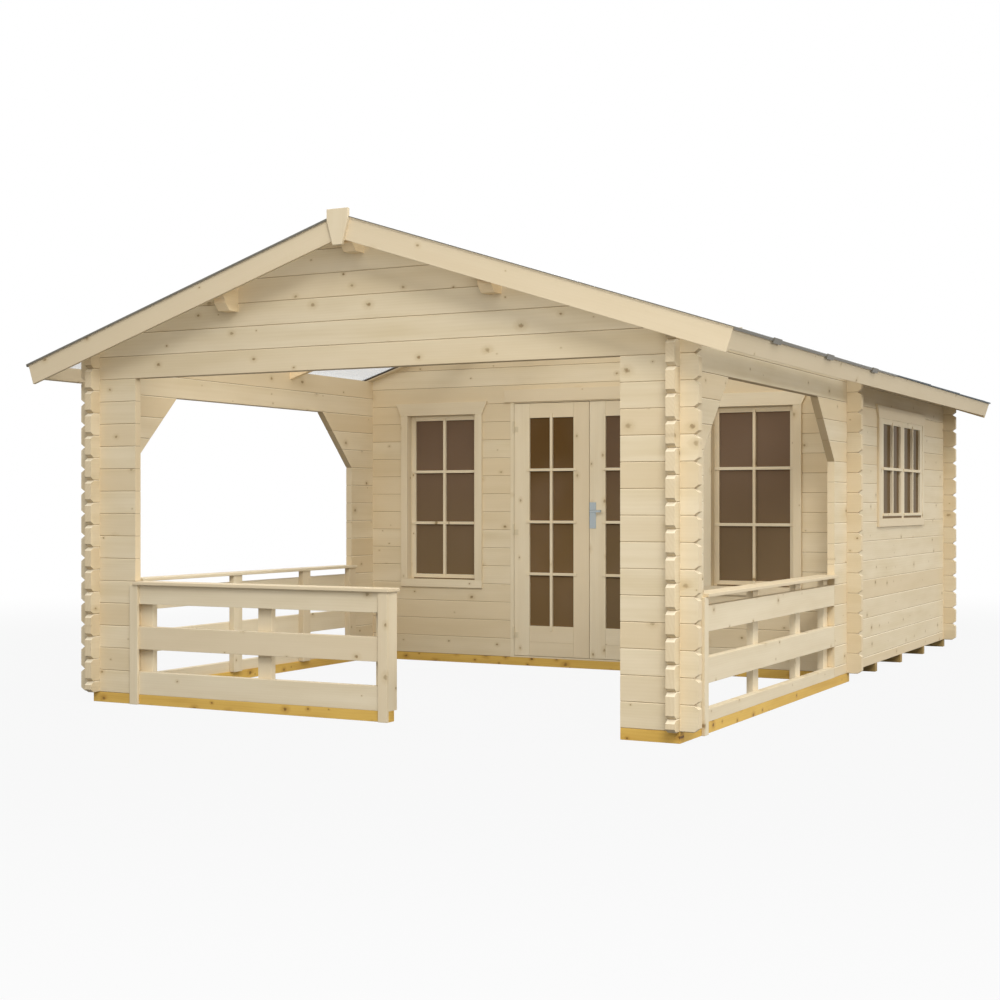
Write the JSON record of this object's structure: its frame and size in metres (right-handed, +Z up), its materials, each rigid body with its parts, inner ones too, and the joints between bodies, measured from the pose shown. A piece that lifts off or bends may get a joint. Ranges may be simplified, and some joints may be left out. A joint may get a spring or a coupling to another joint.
{
  "type": "log guest cabin with open porch",
  "caption": "Gabled guest cabin of interlocking logs with a roofed open porch, low plank railings and a closed room behind glazed double doors that swing open.",
  "frame": {"origin": "on the ground, under the middle of the whole part's box", "axes": "+Z up, -Y out of the porch's front, +X to the right when facing the porch"},
  "size_m": [4.5078, 6.57, 2.8009],
  "materials": {
    "log_wood": "planed untreated pine logs",
    "trim_wood": "planed untreated pine boards",
    "base_wood": "impregnated golden beams",
    "joist_wood": "impregnated greenish brown joists",
    "felt": "mineral roofing felt",
    "clear_sheet": "pale translucent roofing sheet",
    "hinge_zinc": "pale dull zinc",
    "glass": "clear glass over a dim room",
    "steel": "satin"
  },
  "bodies": {
    "cabin": {"front_base": "base_wood", "side_bases": "base_wood", "mid_base": "base_wood", "floor_joists": "joist_wood", "room_floor": "trim_wood", "front_left_wall": "log_wood", "front_right_wall": "log_wood", "front_gable": "log_wood", "left_porch_wall": "log_wood", "right_porch_wall": "log_wood", "left_wall": "log_wood", "right_wall": "log_wood", "left_wall_plate": "log_wood", "right_wall_plate": "log_wood", "mid_left_wall": "log_wood", "mid_right_wall": "log_wood", "mid_gable": "log_wood", "back_wall": "log_wood", "ridge_purlin": "log_wood", "side_purlins": "log_wood", "purlin_corbels": "log_wood", "left_roof_boards": "trim_wood", "right_roof_boards": "trim_wood", "left_roof_felt": "felt", "right_roof_felt": "felt", "sheet_battens": "trim_wood", "left_porch_sheets": "clear_sheet", "right_porch_sheets": "clear_sheet", "left_barge_boards": "trim_wood", "right_barge_boards": "trim_wood", "ridge_blocks": "trim_wood", "eave_boards": "trim_wood", "front_railing": "trim_wood", "left_railing": "trim_wood", "right_railing": "trim_wood", "porch_window_frames": "trim_wood", "porch_window_sashes": "trim_wood", "porch_window_glass": "glass", "side_window_frames": "trim_wood", "side_window_sashes": "trim_wood", "side_window_glass": "glass", "door_frame": "trim_wood", "frame_hinges": "hinge_zinc"},
    "left_leaf": {"left_door": "trim_wood", "left_door_glass": "glass", "left_hinges": "hinge_zinc"},
    "right_leaf": {"right_door": "trim_wood", "right_door_glass": "glass", "right_hinges": "hinge_zinc", "door_handle": "steel"}
  },
  "joints": [
    {"name": "left_door_hinge", "type": "hinge", "parent": "cabin", "child": "left_leaf", "pos_m": [-0.612, 0.044, 1], "axis": [0, 0, -1], "range_deg": [0, 110]},
    {"name": "right_door_hinge", "type": "hinge", "parent": "cabin", "child": "right_leaf", "pos_m": [0.612, 0.044, 1], "axis": [0, 0, 1], "range_deg": [0, 110]}
  ]
}
